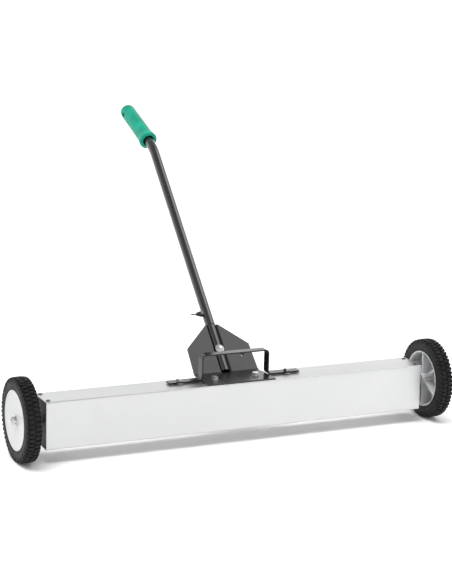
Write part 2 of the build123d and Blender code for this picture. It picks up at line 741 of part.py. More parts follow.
with BuildPart() as grip:
    grip_side = Plane(origin=GRIP_START, x_dir=UP_GRIP, z_dir=(1, 0, 0))
    with BuildSketch(grip_side):
        with BuildLine():
            Polyline((MOUTH_DEPTH, UPPER_R), (MOUTH_DEPTH - 2.5, MOUTH_R), (0.0, MOUTH_R),
                     (0.0, GRIP_COLLAR_R - 2.0))
            ThreePointArc((0.0, GRIP_COLLAR_R - 2.0), (0.6, GRIP_COLLAR_R - 0.6),
                          (2.0, GRIP_COLLAR_R))
            Spline((2.0, GRIP_COLLAR_R), (10.0, GRIP_COLLAR_R - 0.6), (COLLAR_L, GRIP_R_NEAR),
                   tangents=((1, 0), (1, -0.01)))
            Line((COLLAR_L, GRIP_R_NEAR), (GRIP_L - DOME_L, GRIP_R_FAR))
            Spline((GRIP_L - DOME_L, GRIP_R_FAR), (GRIP_L - 3.5, GRIP_R_FAR * 0.66), (GRIP_L, 0),
                   tangents=((1, -0.007), (0, -1)))
            Polyline((GRIP_L, 0), (TUBE_IN_GRIP, 0), (TUBE_IN_GRIP, UPPER_R),
                     (MOUTH_DEPTH, UPPER_R))
        make_face()
    revolve(axis=Axis(GRIP_START, UP_GRIP))
    hang_spot = GRIP_START + UP_GRIP * HANG_HOLE_AT
    with BuildSketch(Plane(origin=hang_spot - Vector(30, 0, 0), x_dir=UP_GRIP, z_dir=(1, 0, 0))):
        Circle(HANG_HOLE_R)
    extrude(amount=60, mode=Mode.SUBTRACT)
save(grip.part, "grip")


# ---------------------------------------------------------------- release strap and lift rods
STRAP_CORNER_R = 2.0
STRAP_MID_Z = STRAP_TOP_Z - STRAP_T / 2
FOOT_Z = TOP_Z + STRAP_GAP
FOOT_MID_Z = FOOT_Z + STRAP_T / 2

with BuildPart() as release_strap:
    with BuildLine() as strap_line:
        FilletPolyline((-STRAP_FOOT_X, STRAP_Y, FOOT_MID_Z), (-STRAP_LEG_X, STRAP_Y, FOOT_MID_Z),
                       (-STRAP_LEG_X, STRAP_Y, STRAP_MID_Z), (STRAP_LEG_X, STRAP_Y, STRAP_MID_Z),
                       (STRAP_LEG_X, STRAP_Y, FOOT_MID_Z), (STRAP_FOOT_X, STRAP_Y, FOOT_MID_Z),
                       radius=STRAP_BEND + STRAP_T / 2)
    with BuildSketch(Plane(origin=(-STRAP_FOOT_X, STRAP_Y, FOOT_MID_Z), x_dir=(0, 1, 0),
                           z_dir=(1, 0, 0))):
        Rectangle(STRAP_W, STRAP_T)
    sweep(path=strap_line.line)
    foot_corners = release_strap.edges().filter_by(Axis.Z).group_by(
        lambda e: round(abs(e.center().X), 1))[-1]
    fillet(foot_corners, STRAP_CORNER_R)
    with BuildSketch(level(FOOT_Z - 1)):
        with Locations(LIFT_SPOTS):
            Circle(M6_R + BOLT_CLEAR)
    extrude(amount=STRAP_T + 2, mode=Mode.SUBTRACT)
save(release_strap.part, "release_strap")

BUSHING_FLANGE_R = 9.0
BUSHING_FLANGE_T = STRAP_GAP - 0.3
BUSHING_DEPTH = 7.5


def guide_bushing(x, y):
    """A flanged nylon bushing pressed into the housing's roof."""
    with BuildPart() as bushing:
        add(ring(level(TOP_Z, x, y), BUSHING_FLANGE_R, ROD_R + RUN_FIT, BUSHING_FLANGE_T))
        add(ring(level(TOP_Z - BUSHING_DEPTH, x, y), BUSHING_R, ROD_R + RUN_FIT, BUSHING_DEPTH))
    return bushing.part


save(group(guide_bushing(x, y) for x, y in LIFT_SPOTS), "guide_bushings")

CARRIER_Z = FLOOR_Z + 1.5
MAGNET_Z = CARRIER_Z + 0.5
CHANNEL_TOP_Z = MAGNET_Z + MAGNET[2] + CHANNEL_T
ROD_FOOT_R = 9.0
ROD_FOOT_T = 3.0
ROD_FOOT_BEVEL = 0.8
ROD_TAP_DEPTH = 16.0
LIFT_BOLT_L = 15.0


def lift_rod(x, y):
    """A rod welded to the channel by its foot, tapped at its top to take the strap's bolt."""
    with BuildPart() as rod:
        add(disc(level(CHANNEL_TOP_Z, x, y), ROD_FOOT_R, ROD_FOOT_T, ROD_FOOT_BEVEL))
        with BuildSketch(level(CHANNEL_TOP_Z, x, y)):
            Circle(ROD_R)
        extrude(amount=FOOT_Z - CHANNEL_TOP_Z)
        with BuildSketch(level(FOOT_Z, x, y)):
            Circle(M6_R)
        extrude(amount=-ROD_TAP_DEPTH, mode=Mode.SUBTRACT)
    return rod.part


def lift_bolt(x, y):
    """A hexagon bolt through the strap's foot into its rod."""
    with BuildPart() as bolt:
        add(hexagon(level(FOOT_Z + STRAP_T, x, y), M8[1], BOLT_HEAD_H))
        add(shank(level(FOOT_Z + STRAP_T, x, y, -1), M6_R, LIFT_BOLT_L))
    return bolt.part


save(group(lift_rod(x, y) for x, y in LIFT_SPOTS), "lift_rods")
save(group(lift_bolt(x, y) for x, y in LIFT_SPOTS), "lift_rod_bolts")


# ---------------------------------------------------------------- magnets and their channel
CHANNEL_BEND_R = 2.5

with BuildPart() as magnet_channel:
    with BuildSketch(Plane.YZ.offset(-CHANNEL_L / 2)):
        with Locations((0, (CARRIER_Z + CHANNEL_TOP_Z) / 2)):
            Rectangle(CHANNEL_W, CHANNEL_TOP_Z - CARRIER_Z)
        with Locations((0, (CARRIER_Z + CHANNEL_TOP_Z) / 2 - CHANNEL_T)):
            Rectangle(CHANNEL_W - 2 * CHANNEL_T, CHANNEL_TOP_Z - CARRIER_Z, mode=Mode.SUBTRACT)
    extrude(amount=CHANNEL_L)
    outer_bends = magnet_channel.edges().filter_by(Axis.X).group_by(Axis.Z)[-1]
    fillet(outer_bends, CHANNEL_BEND_R)
save(magnet_channel.part, "magnet_channel")

with BuildPart() as magnet_blocks:
    with BuildSketch(level(MAGNET_Z)):
        with GridLocations(MAGNET[0] + MAGNET_GAP, 1, MAGNET_COUNT, 1):
            Rectangle(MAGNET[0], MAGNET[1])
    extrude(amount=MAGNET[2])
save(magnet_blocks.part, "magnet_blocks")

PAD_L = 30.0
PAD_X = CHANNEL_L / 2 - 25.0
PAD_GAP = 0.5
PAD_Z = CARRIER_Z + 3.0
PAD_H = CHANNEL_TOP_Z - CARRIER_Z - 7.0

with BuildPart() as glide_pads:
    with BuildSketch(level(PAD_Z)):
        for pad_side in (-1, 1):
            inner_y = CHANNEL_W / 2
            outer_y = INNER_D / 2 - PAD_GAP
            with Locations((-PAD_X, pad_side * (inner_y + outer_y) / 2),
                           (PAD_X, pad_side * (inner_y + outer_y) / 2)):
                Rectangle(PAD_L, outer_y - inner_y)
    extrude(amount=PAD_H)
save(glide_pads.part, "glide_pads")
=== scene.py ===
"""Looks, light and camera for the magnetic nail sweeper. Metres, in the row frame."""

import json
from collections import namedtuple
from math import cos, pi, radians, sin, sqrt

import bmesh
import bpy
from mathutils import Matrix, Vector


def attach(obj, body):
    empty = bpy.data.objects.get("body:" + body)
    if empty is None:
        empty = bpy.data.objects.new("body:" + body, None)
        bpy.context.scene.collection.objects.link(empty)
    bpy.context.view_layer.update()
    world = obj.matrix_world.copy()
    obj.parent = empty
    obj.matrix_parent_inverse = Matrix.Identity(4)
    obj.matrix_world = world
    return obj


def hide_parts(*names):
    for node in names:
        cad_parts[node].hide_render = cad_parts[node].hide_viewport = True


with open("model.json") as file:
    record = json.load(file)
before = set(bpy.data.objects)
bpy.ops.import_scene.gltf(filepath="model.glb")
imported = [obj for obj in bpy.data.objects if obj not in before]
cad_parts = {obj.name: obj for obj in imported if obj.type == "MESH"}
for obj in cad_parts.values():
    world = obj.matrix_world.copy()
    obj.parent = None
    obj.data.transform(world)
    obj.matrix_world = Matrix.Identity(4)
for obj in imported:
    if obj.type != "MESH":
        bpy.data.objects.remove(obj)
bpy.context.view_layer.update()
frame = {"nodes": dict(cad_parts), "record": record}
nodes = frame["nodes"]
MM = 0.001
SHARP = radians(28)
NOISE_ROUGHNESS = 0.55


# ---------------------------------------------------------------- node graph helpers
class Look:
    """A material whose colour, roughness and bump are built from noise in object space."""

    def __init__(self, name, **constants):
        self.material = bpy.data.materials.new(name)
        self.material.use_nodes = True
        self.tree = self.material.node_tree
        self.shader = self.tree.nodes["Principled BSDF"]
        for socket, value in constants.items():
            self.shader.inputs[socket.replace("_", " ")].default_value = value
        self.coords = self.node("ShaderNodeTexCoord").outputs["Object"]

    def node(self, kind, **settings):
        made = self.tree.nodes.new(kind)
        for key, value in settings.items():
            setattr(made, key, value)
        return made

    def link(self, source, target):
        self.tree.links.new(source, target)

    def stretched(self, scale):
        """Object coordinates scaled by a different amount along each axis."""
        mapping = self.node("ShaderNodeMapping")
        mapping.inputs["Scale"].default_value = scale
        self.link(self.coords, mapping.inputs["Vector"])
        return mapping.outputs["Vector"]

    def noise(self, scale, detail, vector=None):
        """Cloudy noise, over object coordinates unless another vector is given."""
        made = self.node("ShaderNodeTexNoise")
        made.inputs["Scale"].default_value = scale
        made.inputs["Detail"].default_value = detail
        made.inputs["Roughness"].default_value = NOISE_ROUGHNESS
        self.link(vector or self.coords, made.inputs["Vector"])
        return made.outputs["Fac"]

    def cells(self, scale):
        """Distance to the nearest of many scattered points."""
        made = self.node("ShaderNodeTexVoronoi", feature="F1")
        made.inputs["Scale"].default_value = scale
        self.link(self.coords, made.inputs["Vector"])
        return made.outputs["Distance"]

    def ramp(self, value, low, high, start=0.35, end=0.65):
        """Maps a noise value onto a range of numbers or onto two colours."""
        made = self.node("ShaderNodeMapRange")
        made.inputs["From Min"].default_value = start
        made.inputs["From Max"].default_value = end
        self.link(value, made.inputs["Value"])
        if not isinstance(low, tuple):
            made.inputs["To Min"].default_value = low
            made.inputs["To Max"].default_value = high
            return made.outputs["Result"]
        mix = self.node("ShaderNodeMix", data_type="RGBA")
        self.link(made.outputs["Result"], mix.inputs["Factor"])
        mix.inputs["A"].default_value = (*low, 1.0)
        mix.inputs["B"].default_value = (*high, 1.0)
        return mix.outputs["Result"]

    def color(self, value, low, high):
        """Lets the base colour follow a value."""
        self.link(self.ramp(value, low, high), self.shader.inputs["Base Color"])

    def rough(self, value, low, high, **limits):
        """Lets the roughness follow a value."""
        self.link(self.ramp(value, low, high, **limits), self.shader.inputs["Roughness"])

    def bump(self, value, strength, distance):
        """Stacks one more bump on those already there."""
        made = self.node("ShaderNodeBump")
        made.inputs["Strength"].default_value = strength
        made.inputs["Distance"].default_value = distance
        self.link(value, made.inputs["Height"])
        normal = self.shader.inputs["Normal"]
        if normal.links:
            self.link(normal.links[0].from_socket, made.inputs["Normal"])
        self.link(made.outputs["Normal"], normal)


def aluminium():
    """Satin extruded aluminium: faint die lines along X and a little clouding."""
    look = Look("extruded_aluminium", Metallic=1.0)
    lines = look.noise(1.0, 3.0, look.stretched((1.2, 620.0, 620.0)))
    clouds = look.noise(5.0, 4.0)
    look.color(clouds, (0.570, 0.573, 0.577), (0.598, 0.601, 0.605))
    look.rough(lines, 0.33, 0.40)
    look.bump(lines, 0.05, 0.00002)
    return look.material


def black_paint(name, color, roughness, peel=0.10, **constants):
    """Powder coat: fine orange peel, slight clouding and dust."""
    look = Look(name, **constants)
    clouds = look.noise(28.0, 5.0)
    dust = tuple(c * 1.35 + 0.002 for c in color)
    look.color(clouds, color, dust)
    look.rough(clouds, roughness - 0.03, roughness + 0.05)
    look.bump(look.noise(1100.0, 2.0), peel, 0.00010)
    return look.material


def zinc():
    """Bright zinc plate with small spangles and faint stains."""
    look = Look("zinc_plate", Metallic=1.0)
    stains = look.noise(160.0, 4.0)
    look.color(stains, (0.56, 0.565, 0.57), (0.80, 0.805, 0.81))
    look.rough(look.cells(700.0), 0.16, 0.36, start=0.0, end=0.9)
    look.bump(stains, 0.15, 0.00008)
    return look.material


def plain_steel():
    """Mill-finish sheet steel with rolling lines along X."""
    look = Look("sheet_steel", Metallic=1.0)
    lines = look.noise(1.0, 4.0, look.stretched((4.0, 500.0, 500.0)))
    look.color(look.noise(14.0, 5.0), (0.34, 0.345, 0.35), (0.48, 0.485, 0.49))
    look.rough(lines, 0.34, 0.5)
    look.bump(lines, 0.15, 0.00005)
    return look.material


def rubber():
    """Black tyre rubber, slightly dusty, with a fine moulded grain."""
    look = Look("tyre_rubber", Specular_IOR_Level=0.18)
    dust = look.noise(45.0, 5.0)
    look.color(dust, (0.008, 0.008, 0.009), (0.017, 0.017, 0.018))
    look.rough(dust, 0.48, 0.64)
    look.bump(look.noise(900.0, 4.0), 0.25, 0.00025)
    return look.material


def white_plastic():
    """Moulded white plastic with a faint flow pattern and mould texture."""
    look = Look("white_plastic")
    flow = look.noise(22.0, 4.0)
    look.color(flow, (0.50, 0.504, 0.510), (0.54, 0.545, 0.552))
    look.rough(flow, 0.28, 0.42)
    look.bump(look.noise(1100.0, 2.0), 0.10, 0.00010)
    return look.material


def nylon(name, low, high):
    """Cloudy nylon with a soft shine."""
    look = Look(name)
    flow = look.noise(60.0, 3.0)
    look.color(flow, low, high)
    look.rough(flow, 0.38, 0.52)
    look.bump(look.noise(900.0, 2.0), 0.12, 0.0001)
    return look.material


def grip_rubber():
    """Soft green handle rubber: eggshell surface, mottled, with a pebbled grain."""
    look = Look("green_grip", Specular_IOR_Level=0.22)
    mottle = look.noise(38.0, 5.0)
    look.color(mottle, (0.003, 0.215, 0.142), (0.008, 0.31, 0.210))
    look.rough(mottle, 0.36, 0.50)
    look.bump(look.cells(1500.0), 0.12, 0.00012)
    look.bump(look.noise(260.0, 3.0), 0.10, 0.0002)
    return look.material


def ferrite():
    """Dark ceramic magnet with a ground, slightly speckled face."""
    look = Look("ceramic_ferrite")
    speckle = look.noise(420.0, 6.0)
    look.color(speckle, (0.035, 0.035, 0.04), (0.085, 0.085, 0.09))
    look.rough(speckle, 0.45, 0.68)
    look.bump(speckle, 0.2, 0.0002)
    return look.material


LOOKS = {
    "housing_aluminium": aluminium(),
    "end_plate_black": black_paint("end_plate_paint", (0.010, 0.010, 0.011), 0.42,
                                   Specular_IOR_Level=0.3),
    "bracket_black": black_paint("bracket_paint", (0.010, 0.010, 0.011), 0.24),
    "tube_black": black_paint("tube_paint", (0.006, 0.006, 0.007), 0.20, peel=0.05,
                              Coat_Weight=1.0, Coat_IOR=1.5, Coat_Roughness=0.08),
    "zinc_steel": zinc(),
    "tyre_rubber": rubber(),
    "rim_white": white_plastic(),
    "nylon": nylon("natural_nylon", (0.69, 0.68, 0.62), (0.78, 0.77, 0.72)),
    "grip_green": grip_rubber(),
    "magnet_ceramic": ferrite(),
    "channel_steel": plain_steel(),
}


# ---------------------------------------------------------------- carried-over CAD nodes
# nodes whose finish differs from the rest of their slot
OWN_LOOKS = {
    "release_strap": black_paint("strap_paint", (0.004, 0.004, 0.005), 0.18,
                                 Specular_IOR_Level=0.35),
    "side_weld_nuts": LOOKS["end_plate_black"],
    "end_plate_screws": black_paint("blackened_screws", (0.060, 0.060, 0.062), 0.36),
}


def dress_cad():
    """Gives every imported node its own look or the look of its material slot."""
    for part in frame["record"]["subparts"]:
        node = part["node"]
        obj = nodes[node]
        obj.data.materials.clear()
        obj.data.materials.append(OWN_LOOKS.get(node, LOOKS[part["material_slot"]]))


dress_cad()


# ---------------------------------------------------------------- pieces from meshes
def finished(mesh, name, body, slot, *replaced):
    """Turns a built mesh into a piece on a body, with smooth faces, crisp edges and a slot's look."""
    bmesh.ops.recalc_face_normals(mesh, faces=mesh.faces)
    data = bpy.data.meshes.new(name)
    mesh.to_mesh(data)
    mesh.free()
    data.materials.append(LOOKS[slot])
    data.shade_smooth()
    data.set_sharp_from_angle(angle=SHARP)
    piece = bpy.data.objects.new(name, data)
    bpy.context.scene.collection.objects.link(piece)
    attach(piece, body)
    if replaced:
        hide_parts(*replaced)


def grid_faces(mesh, rows, closed=False):
    """Joins neighbouring rows of vertices with quads."""
    count = len(rows[0])
    for here, after in zip(rows, rows[1:]):
        for k in range(count if closed else count - 1):
            mesh.faces.new((here[k], here[(k + 1) % count], after[(k + 1) % count], after[k]))


# ---------------------------------------------------------------- tyres
WHEEL_R = 89.0
AXLE_Z = 89.0
TYRE_MID_X = 479.5
TYRE_HALF = 16.5
CROWN_HALF = 13.5
CROWN_DROP = 0.8
CORNER_DROP = 6.2
GROOVE_DEPTH = 3.4
AROUND = 200
LUGS = 56
PITCH = 2 * pi * WHEEL_R / LUGS
FOOT_SUNK = 0.5
BLOCK_TAPER = 0.22
ARCH_LEVEL = 0.4
# how high a block may stand at its end stations, as shares of its height
LUG_ENDS = (0.0, 0.75, 1.0)
# shares of a block's half length and of its height
LUG_SECTION = ((-1.0, 0.0), (-0.93, 0.75), (-0.80, 1.0), (-0.27, 1.0), (0.27, 1.0), (0.80, 1.0),
               (0.93, 0.75), (1.0, 0.0))
# distances out from the tyre's middle, and from the axle where there are two
GROOVE_FLOOR = (12.5, 9.5, 6.3, 3.2)
SIDEWALL = [
    (12.2, 60.7), (12.2, 62.6), (14.9, 62.6), (15.0, 64.4), (15.6, 65.1), (16.3, 65.5), (16.5, 66.4),
    (16.3, 67.4), (16.0, 68.0), (16.0, 69.4), (16.3, 70.2), (16.45, 73.5), (16.4, 76.8), (15.7, 78.0),
    (15.2, 79.2), (15.1, 82.0), (14.7, 83.6),
]
SHOULDER_TOPS = [(12.7, 88.3), (13.0, 88.25), (13.7, 88.1), (14.9, 87.2), (15.7, 85.8), (16.3, 83.4),
                 (16.5, 81.0), (16.45, 79.2), (16.35, 78.2)]
SHOULDER_FEET = [(12.7, 83.6), (13.0, 83.6), (13.4, 83.4), (13.9, 83.1), (14.3, 82.6), (14.5, 81.6),
                 (14.6, 80.4), (14.8, 79.0), (15.0, 78.0)]
# stations of a centre block, as shares of its width
CENTRE_STATIONS = (0.0, 0.04, 0.12, 0.34, 0.66, 0.88, 0.96, 1.0)


def crown(x):
    """Outer radius of the tread at a distance across the tyre."""
    x = abs(x)
    if x <= CROWN_HALF:
        return WHEEL_R - CROWN_DROP * (x / CROWN_HALF) ** 2
    t = (x - CROWN_HALF) / (TYRE_HALF - CROWN_HALF)
    return WHEEL_R - CROWN_DROP - CORNER_DROP * (1.0 - sqrt(max(0.0, 1.0 - t * t)))


def tyre_point(side, x, radius, angle):
    """A point on a wheel: x across the tyre, out from its middle."""
    return Vector((side * (TYRE_MID_X + x), -radius * cos(angle), AXLE_Z + radius * sin(angle))) * MM


def add_carcass(mesh, side):
    """The tyre under its lugs, as a closed ring."""
    floor = [(x, crown(x) - GROOVE_DEPTH) for x in GROOVE_FLOOR]
    right = SIDEWALL + floor
    profile = [(-x, r) for x, r in right] + [(0.0, crown(0.0) - GROOVE_DEPTH)] + right[::-1]
    rings = []
    for i in range(AROUND):
        angle = 2 * pi * i / AROUND
        rings.append([mesh.verts.new(tyre_point(side, x, r, angle)) for x, r in profile])
    grid_faces(mesh, rings + rings[:1], closed=True)


def add_lug(mesh, side, angle, stations):
    """One raised block. Each station gives its top (x, r), its foot (x, r), half length and shift."""
    last = len(stations) - 1
    grid = []
    for i, (top, foot, half, shift) in enumerate(stations):
        limit = LUG_ENDS[min(i, last - i, len(LUG_ENDS) - 1)]
        row = []
        for around, rise in LUG_SECTION:
            height = min(limit, rise)
            x = foot[0] + (top[0] - foot[0]) * height
            r = foot[1] + (top[1] - foot[1]) * height
            row.append(mesh.verts.new(tyre_point(side, x, r, angle + (shift + around * half) / WHEEL_R)))
        grid.append(row)
    grid_faces(mesh, grid)
    border = grid[0] + [row[-1] for row in grid[1:-1]] + grid[-1][::-1]
    mesh.faces.new(border + [row[0] for row in grid[-2:0:-1]])


def centre_block(inner, outer, half, arch):
    """A block between two distances across the tyre, arched along the direction of travel."""
    stations = []
    for share in CENTRE_STATIONS:
        x = inner + (outer - inner) * share
        across = 2 * share - 1
        foot = (x, crown(x) - GROOVE_DEPTH - FOOT_SUNK)
        tapered = half * (1 - BLOCK_TAPER * abs(across) ** 3)
        stations.append(((x, crown(x)), foot, tapered, arch * (ARCH_LEVEL - across ** 2)))
    return stations


def shoulder_block(half, reach):
    """A ridge from the edge of the tread down the sidewall, over a number of stations."""
    rows = list(zip(SHOULDER_TOPS, SHOULDER_FEET))[:reach]
    return [(top, foot, half, 0.0) for top, foot in rows]


def mirrored(blocks):
    """The same blocks on the other half of the tyre."""
    return [[((-top[0], top[1]), (-foot[0], foot[1]), half, shift) for top, foot, half, shift in block]
            for block in blocks]


# each row repeats its two blocks in turn, and starts at its own share of the pitch
INNER_ROW = (centre_block(0.6, 11.2, 3.7, 2.6), centre_block(1.8, 11.9, 3.2, -1.2))
OUTER_ROW = (shoulder_block(3.2, 9), shoulder_block(2.5, 7))
TREAD_ROWS = ((INNER_ROW, 0.0), (mirrored(INNER_ROW), 0.5), (OUTER_ROW, 0.35),
              (mirrored(OUTER_ROW), 0.85))


def tread_tyre(name, side, body):
    """A knobbly tyre: two staggered rows of arched blocks between two rows of shoulder ridges."""
    mesh = bmesh.new()
    add_carcass(mesh, side)
    for blocks, phase in TREAD_ROWS:
        for i in range(LUGS):
            add_lug(mesh, side, (i + phase) * PITCH / WHEEL_R, blocks[i % len(blocks)])
    finished(mesh, f"{name}_tread", body, "tyre_rubber", name)


tread_tyre("tyre_left", -1, "wheel_left")
tread_tyre("tyre_right", 1, "wheel_right")


# ---------------------------------------------------------------- turned hardware
LEAN = radians(45)
UP_POLE = Vector((0, cos(LEAN), sin(LEAN)))
OFF_PLATE = Vector((0, -sin(LEAN), cos(LEAN)))
PLATE_FOOT = Vector((0, 44.0, 134.5))
TURN_STEPS = 48
THREAD_STEPS = 24
THREAD_DEPTH = 0.55
# a thread's ridge, as shares of the pitch and of the depth
THREAD_SECTION = ((0.0, 1.0), (0.42, 0.0), (0.58, 0.0), (1.0, 1.0))
# height and radius of a hexagon's bevel, as shares of its width across flats
BEVEL = ((0.0, 0.470), (0.020, 0.505), (0.045, 0.545), (0.075, 0.5774))
BEAD_SIDES = 8
RIPPLE_STEPS = 6
RIPPLE_SWELL = 0.16
WELD_DISTANCE = 0.000002


def on_plate(s, n, x=0.0):
    """A point s up the leaning plate and n in front of its face."""
    return PLATE_FOOT + UP_POLE * s + OFF_PLATE * n + Vector((x, 0, 0))


def axis_at(origin, along):
    """Matrix whose local z runs along an axis from a point, in millimetres."""
    turn = Vector(along).to_track_quat("Z", "Y").to_matrix().to_4x4()
    return Matrix.Translation(Vector(origin)) @ turn


def polar(place, radius, angle, height):
    """A point round an axis, in metres."""
    return (place @ Vector((radius * cos(angle), radius * sin(angle), height))) * MM


def hexagon_reach(flats, angle):
    """Distance from a hexagon's middle to its outline."""
    off_flat = (angle + pi / 6) % (pi / 3) - pi / 6
    return flats / 2 / cos(off_flat)


def add_turned(mesh, place, rows, flats=0.0, solid=False):
    """A closed turned ring, or a solid with capped ends, from (height, radius) rows.

    Where flats is given, the outline is cut to a hexagon of that width.
    """
    rings = []
    for height, radius in rows:
        ring = []
        for k in range(TURN_STEPS):
            angle = 2 * pi * k / TURN_STEPS
            limit = hexagon_reach(flats, angle) if flats else radius
            ring.append(mesh.verts.new(polar(place, min(radius, limit), angle, height)))
        rings.append(ring)
    if solid:
        grid_faces(mesh, rings, closed=True)
        mesh.faces.new(rings[0])
        mesh.faces.new(rings[-1])
    else:
        grid_faces(mesh, rings + rings[:1], closed=True)


def hexagon_rows(flats, height):
    """Rows of a hexagon with both ends bevelled."""
    low = [(flats * z, flats * r) for z, r in BEVEL]
    high = [(height - z, r) for z, r in low[::-1]]
    return low + high


def add_thread(mesh, place, radius, pitch, start, stop):
    """A threaded length with bevelled ends, as one helical ridge."""
    depth = THREAD_DEPTH * pitch
    turns = int((stop - start) / pitch) + 3
    rows = []
    for k in range(turns * THREAD_STEPS + 1):
        angle = 2 * pi * k / THREAD_STEPS
        base = start + pitch * (k / THREAD_STEPS - 1)
        row = []
        for along, inset in THREAD_SECTION:
            height = min(max(base + along * pitch, start), stop)
            bevel = radius - depth + min(height - start, stop - height)
            row.append(mesh.verts.new(polar(place, min(radius - inset * depth, bevel), angle, height)))
        rows.append(row)
    grid_faces(mesh, rows)
    mesh.faces.new([row[-1] for row in rows[:THREAD_STEPS]])
    mesh.faces.new([row[0] for row in rows[-THREAD_STEPS - 1:-1]])


def add_bead(mesh, place, ring_r, radius, ripples):
    """A rippled weld bead round a circle."""
    steps = ripples * RIPPLE_STEPS
    rings = []
    for k in range(steps):
        angle = 2 * pi * k / steps
        swell = radius * (1.0 + RIPPLE_SWELL * cos(ripples * angle))
        ring = []
        for j in range(BEAD_SIDES):
            around = 2 * pi * j / BEAD_SIDES
            ring.append(mesh.verts.new(polar(place, ring_r + swell * cos(around), angle,
                                             swell * sin(around))))
        rings.append(ring)
    grid_faces(mesh, rings + rings[:1], closed=True)


def welded(mesh):
    """Joins the vertices where turns of a thread meet."""
    bmesh.ops.remove_doubles(mesh, verts=mesh.verts, dist=WELD_DISTANCE)
    return mesh


Size = namedtuple("Size", "radius pitch flats nut_hexagon nut_height")
M8 = Size(radius=4.0, pitch=1.25, flats=13.0, nut_hexagon=4.6, nut_height=6.5)
M10 = Size(radius=5.0, pitch=1.5, flats=17.0, nut_hexagon=6.6, nut_height=9.0)
NECK_L = 0.6
NECK_STEP = 0.7
# radii of a lock nut's collar, as shares of its width across flats
COLLAR_R = 0.455
COLLAR_TOP_R = 0.43
COLLAR_EDGE = 0.5
INSERT_T = 1.4
INSERT_WALL = 1.5
INSERT_PROUD = 0.1
INSERT_SUNK = 0.25


def add_shank(mesh, place, size, plain, length):
    """A bolt's shank: plain at first, then threaded to its tip."""
    rows = [(0.0, size.radius), (plain, size.radius), (plain + NECK_L, size.radius - NECK_STEP)]
    add_turned(mesh, place, rows, solid=True)
    add_thread(mesh, place, size.radius, size.pitch, plain, length)


def add_lock_nut(mesh, place, size):
    """A hexagon with a round collar that grips a plastic insert."""
    top = size.nut_height
    seat = size.radius + INSERT_WALL
    collar = [(size.nut_hexagon, size.flats * COLLAR_R), (top - COLLAR_EDGE, size.flats * COLLAR_R),
              (top, size.flats * COLLAR_TOP_R), (top, seat), (top - INSERT_T, seat),
              (top - INSERT_T, size.radius)]
    rows = [(0.0, size.radius)] + hexagon_rows(size.flats, size.nut_hexagon) + collar
    add_turned(mesh, place, rows, size.flats)


def add_insert(mesh, place, size):
    """The plastic ring inside a lock nut's collar."""
    low, high = size.nut_height - INSERT_T, size.nut_height - INSERT_SUNK
    inner, outer = size.radius - INSERT_PROUD, size.radius + INSERT_WALL
    add_turned(mesh, place, [(low, inner), (low, outer), (high, outer), (high, inner)])


AXLE_HEAD_X = 435.5
AXLE_HEAD_H = 6.4
AXLE_THREAD_X = 480.0
AXLE_TIP_X = 505.0
LOCK_NUT_X = 494.0


def on_axle(side, x):
    """Matrix of a wheel's axis, facing outwards from a distance out from the middle."""
    return axis_at((side * x, 0, AXLE_Z), (side, 0, 0))


def stub_axle(name, side):
    """A hexagon bolt whose last stretch is threaded."""
    mesh = bmesh.new()
    add_turned(mesh, on_axle(side, AXLE_HEAD_X - AXLE_HEAD_H), hexagon_rows(M10.flats, AXLE_HEAD_H),
               M10.flats, solid=True)
    add_shank(mesh, on_axle(side, AXLE_HEAD_X), M10, AXLE_THREAD_X - AXLE_HEAD_X,
              AXLE_TIP_X - AXLE_HEAD_X)
    finished(welded(mesh), f"{name}_bolt", "housing", "zinc_steel", name)


def axle_nuts():
    """The two lock nuts outside the wheels, and their inserts."""
    nuts = bmesh.new()
    inserts = bmesh.new()
    for side in (-1, 1):
        add_lock_nut(nuts, on_axle(side, LOCK_NUT_X), M10)
        add_insert(inserts, on_axle(side, LOCK_NUT_X), M10)
    finished(nuts, "axle_nylon_lock_nuts", "housing", "zinc_steel", "axle_lock_nuts")
    finished(inserts, "axle_nut_inserts", "housing", "nylon")


stub_axle("axle_left", -1)
stub_axle("axle_right", 1)
axle_nuts()

TUBE_BOLT_S = 58.0
TUBE_BOLT_PLAIN = 20.0
TUBE_BOLT_PAST = 8.5
TUBE_NUT_N = -20.5
TUBE_TOP_N = 3.5
DOME_R = 10.2
DOME_H = 5.0
DOME_EDGE = 0.8
DOME_STEPS = 24
DOME_SPHERE_R = (DOME_R ** 2 + (DOME_H - DOME_EDGE) ** 2) / (2 * (DOME_H - DOME_EDGE))


def dome_height(radius):
    """Height of the domed head at a distance from its axis."""
    return DOME_H - DOME_SPHERE_R + sqrt(DOME_SPHERE_R ** 2 - radius ** 2)


def tube_bolt():
    """The bolt with a large domed head that holds the tube in its groove."""
    mesh = bmesh.new()
    top = on_plate(TUBE_BOLT_S, TUBE_TOP_N)
    radii = [DOME_R * (1 - k / DOME_STEPS) for k in range(DOME_STEPS)]
    add_turned(mesh, axis_at(top, OFF_PLATE), [(0.0, DOME_R)] + [(dome_height(r), r) for r in radii],
               solid=True)
    add_shank(mesh, axis_at(top, -OFF_PLATE), M8, TUBE_BOLT_PLAIN,
              TUBE_TOP_N - TUBE_NUT_N + TUBE_BOLT_PAST)
    finished(welded(mesh), "dome_bolt", "housing", "zinc_steel", "tube_bolt")


def tube_nut():
    """The lock nut behind the plate, and its insert."""
    place = axis_at(on_plate(TUBE_BOLT_S, TUBE_NUT_N), -OFF_PLATE)
    nut = bmesh.new()
    insert = bmesh.new()
    add_lock_nut(nut, place, M8)
    add_insert(insert, place, M8)
    finished(nut, "tube_bolt_lock_nut", "housing", "zinc_steel", "tube_bolt_nut")
    finished(insert, "tube_nut_insert", "housing", "nylon")


tube_bolt()
tube_nut()

WELD_NUT_X = 50.0
WELD_NUT_S = 40.5
PLATE_BACK_N = -3.1
BEAD_RING_R = 7.2
BEAD_R = 0.9
BEAD_RIPPLES = 20


